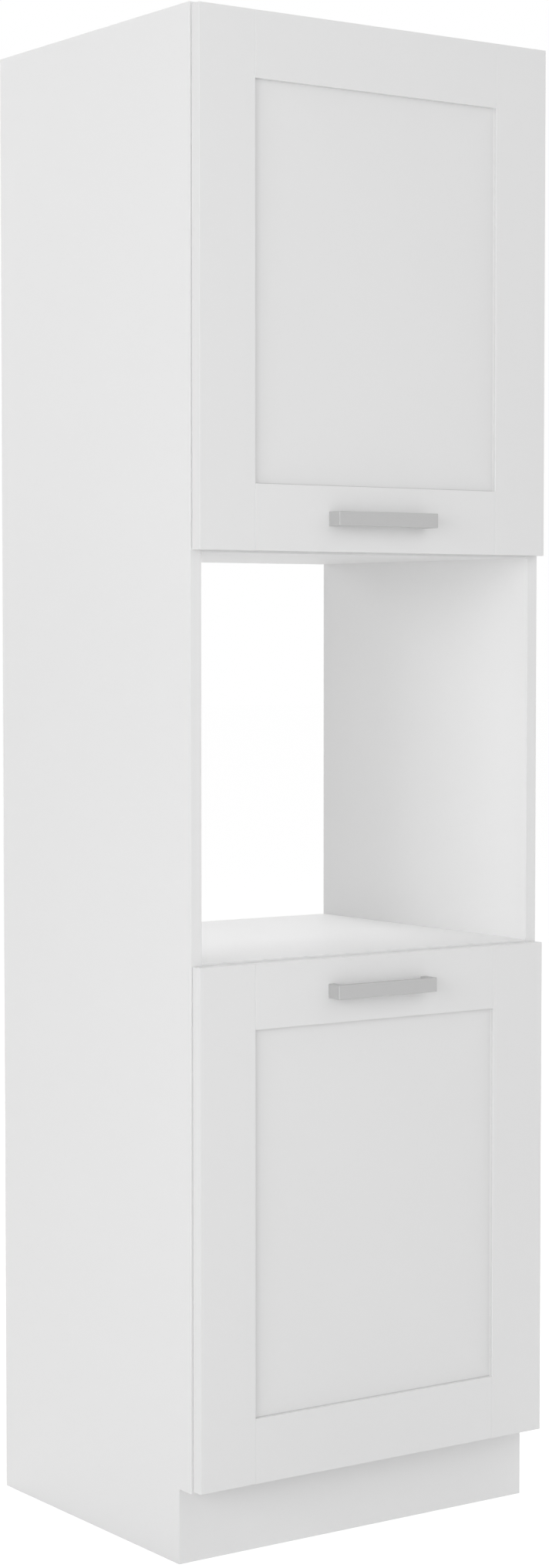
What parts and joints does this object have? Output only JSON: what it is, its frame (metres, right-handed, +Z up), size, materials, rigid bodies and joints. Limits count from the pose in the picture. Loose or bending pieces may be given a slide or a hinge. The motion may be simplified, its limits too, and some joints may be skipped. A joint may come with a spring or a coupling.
{
  "type": "tall oven cabinet",
  "caption": "Tall kitchen cabinet with an open oven niche between framed doors, flat bow handles and a recessed plinth.",
  "frame": {"origin": "on the floor under the middle of the bounding box", "axes": "+Z up, the doors face -Y, +X to the right of a person who faces the doors; the doors hinge at +X"},
  "size_m": [0.6, 0.544, 2.1],
  "materials": {
    "door_lacquer": "satin white lacquer on fibreboard",
    "carcass_melamine": "white melamine faced chipboard",
    "back_board": "white painted hardboard",
    "handle_metal": "satin nickel",
    "beech": "plain beech",
    "die_cast_zinc": "matt die-cast zinc",
    "nickel_plated_steel": "nickel plated",
    "zinc_plated_steel": "bright zinc plated",
    "pin_steel": "plain steel",
    "clear_bumper": "translucent soft plastic"
  },
  "bodies": {
    "carcass": {"bottom_panel": "carcass_melamine", "cam_bolts": "zinc_plated_steel", "cam_locks": "die_cast_zinc", "left_side_panel": "carcass_melamine", "lower_adjustable_shelf": "carcass_melamine", "lower_arm_clamp_screws": "zinc_plated_steel", "lower_arm_pins": "pin_steel", "lower_back_panel": "back_board", "lower_hinge_arms": "nickel_plated_steel", "lower_mounting_plates": "die_cast_zinc", "lower_plate_screws": "zinc_plated_steel", "lower_shelf_pins": "pin_steel", "niche_ceiling_board": "carcass_melamine", "niche_floor_board": "carcass_melamine", "plinth_block_screws": "zinc_plated_steel", "plinth_board": "carcass_melamine", "plinth_corner_blocks": "beech", "right_side_panel": "carcass_melamine", "top_panel": "carcass_melamine", "upper_adjustable_shelf": "carcass_melamine", "upper_arm_clamp_screws": "zinc_plated_steel", "upper_arm_pins": "pin_steel", "upper_back_panel": "back_board", "upper_hinge_arms": "nickel_plated_steel", "upper_mounting_plates": "die_cast_zinc", "upper_plate_screws": "zinc_plated_steel", "upper_shelf_pins": "pin_steel", "wall_bracket_screws": "zinc_plated_steel", "wall_brackets": "zinc_plated_steel", "wood_dowels": "beech"},
    "upper_inner_link": {"upper_inner_links": "nickel_plated_steel"},
    "upper_outer_link": {"upper_outer_links": "nickel_plated_steel"},
    "upper_door": {"upper_left_stile": "door_lacquer", "upper_right_stile": "door_lacquer", "upper_top_rail": "door_lacquer", "upper_bottom_rail": "door_lacquer", "upper_panel": "door_lacquer", "upper_handle": "handle_metal", "upper_handle_screws": "zinc_plated_steel", "upper_hinge_cups": "nickel_plated_steel", "upper_cup_screws": "zinc_plated_steel", "upper_cup_pins": "pin_steel", "upper_bumpers": "clear_bumper"},
    "lower_inner_link": {"lower_inner_links": "nickel_plated_steel"},
    "lower_outer_link": {"lower_outer_links": "nickel_plated_steel"},
    "lower_door": {"lower_left_stile": "door_lacquer", "lower_right_stile": "door_lacquer", "lower_top_rail": "door_lacquer", "lower_bottom_rail": "door_lacquer", "lower_panel": "door_lacquer", "lower_handle": "handle_metal", "lower_handle_screws": "zinc_plated_steel", "lower_hinge_cups": "nickel_plated_steel", "lower_cup_screws": "zinc_plated_steel", "lower_cup_pins": "pin_steel", "lower_bumpers": "clear_bumper"}
  },
  "joints": [
    {"name": "upper_inner_link_turn", "type": "hinge", "parent": "carcass", "child": "upper_inner_link", "pos_m": [0.25977, -0.21912, 1.7375], "axis": [0, 0, 1], "range_deg": [-25.3, 0]},
    {"name": "upper_door_turn", "type": "hinge", "parent": "upper_inner_link", "child": "upper_door", "pos_m": [0.28734, -0.232, 1.7375], "axis": [0, 0, 1], "range_deg": [0, 120.27]},
    {"name": "upper_outer_link_turn", "type": "hinge", "parent": "carcass", "child": "upper_outer_link", "pos_m": [0.2576, -0.2252, 1.7375], "axis": [0, 0, 1], "range_deg": [-11.9, 0]},
    {"name": "lower_inner_link_turn", "type": "hinge", "parent": "carcass", "child": "lower_inner_link", "pos_m": [0.25977, -0.21912, 0.4635], "axis": [0, 0, 1], "range_deg": [-25.3, 0]},
    {"name": "lower_door_turn", "type": "hinge", "parent": "lower_inner_link", "child": "lower_door", "pos_m": [0.28734, -0.232, 0.4635], "axis": [0, 0, 1], "range_deg": [0, 120.27]},
    {"name": "lower_outer_link_turn", "type": "hinge", "parent": "carcass", "child": "lower_outer_link", "pos_m": [0.2576, -0.2252, 0.4635], "axis": [0, 0, 1], "range_deg": [-11.9, 0]}
  ],
  "couplings": [
    {"joint": "upper_inner_link_turn", "follows": "upper_door_turn", "ratio": -0.21011},
    {"joint": "upper_outer_link_turn", "follows": "upper_door_turn", "ratio": -0.098736},
    {"joint": "lower_inner_link_turn", "follows": "lower_door_turn", "ratio": -0.21011},
    {"joint": "lower_outer_link_turn", "follows": "lower_door_turn", "ratio": -0.098736}
  ]
}
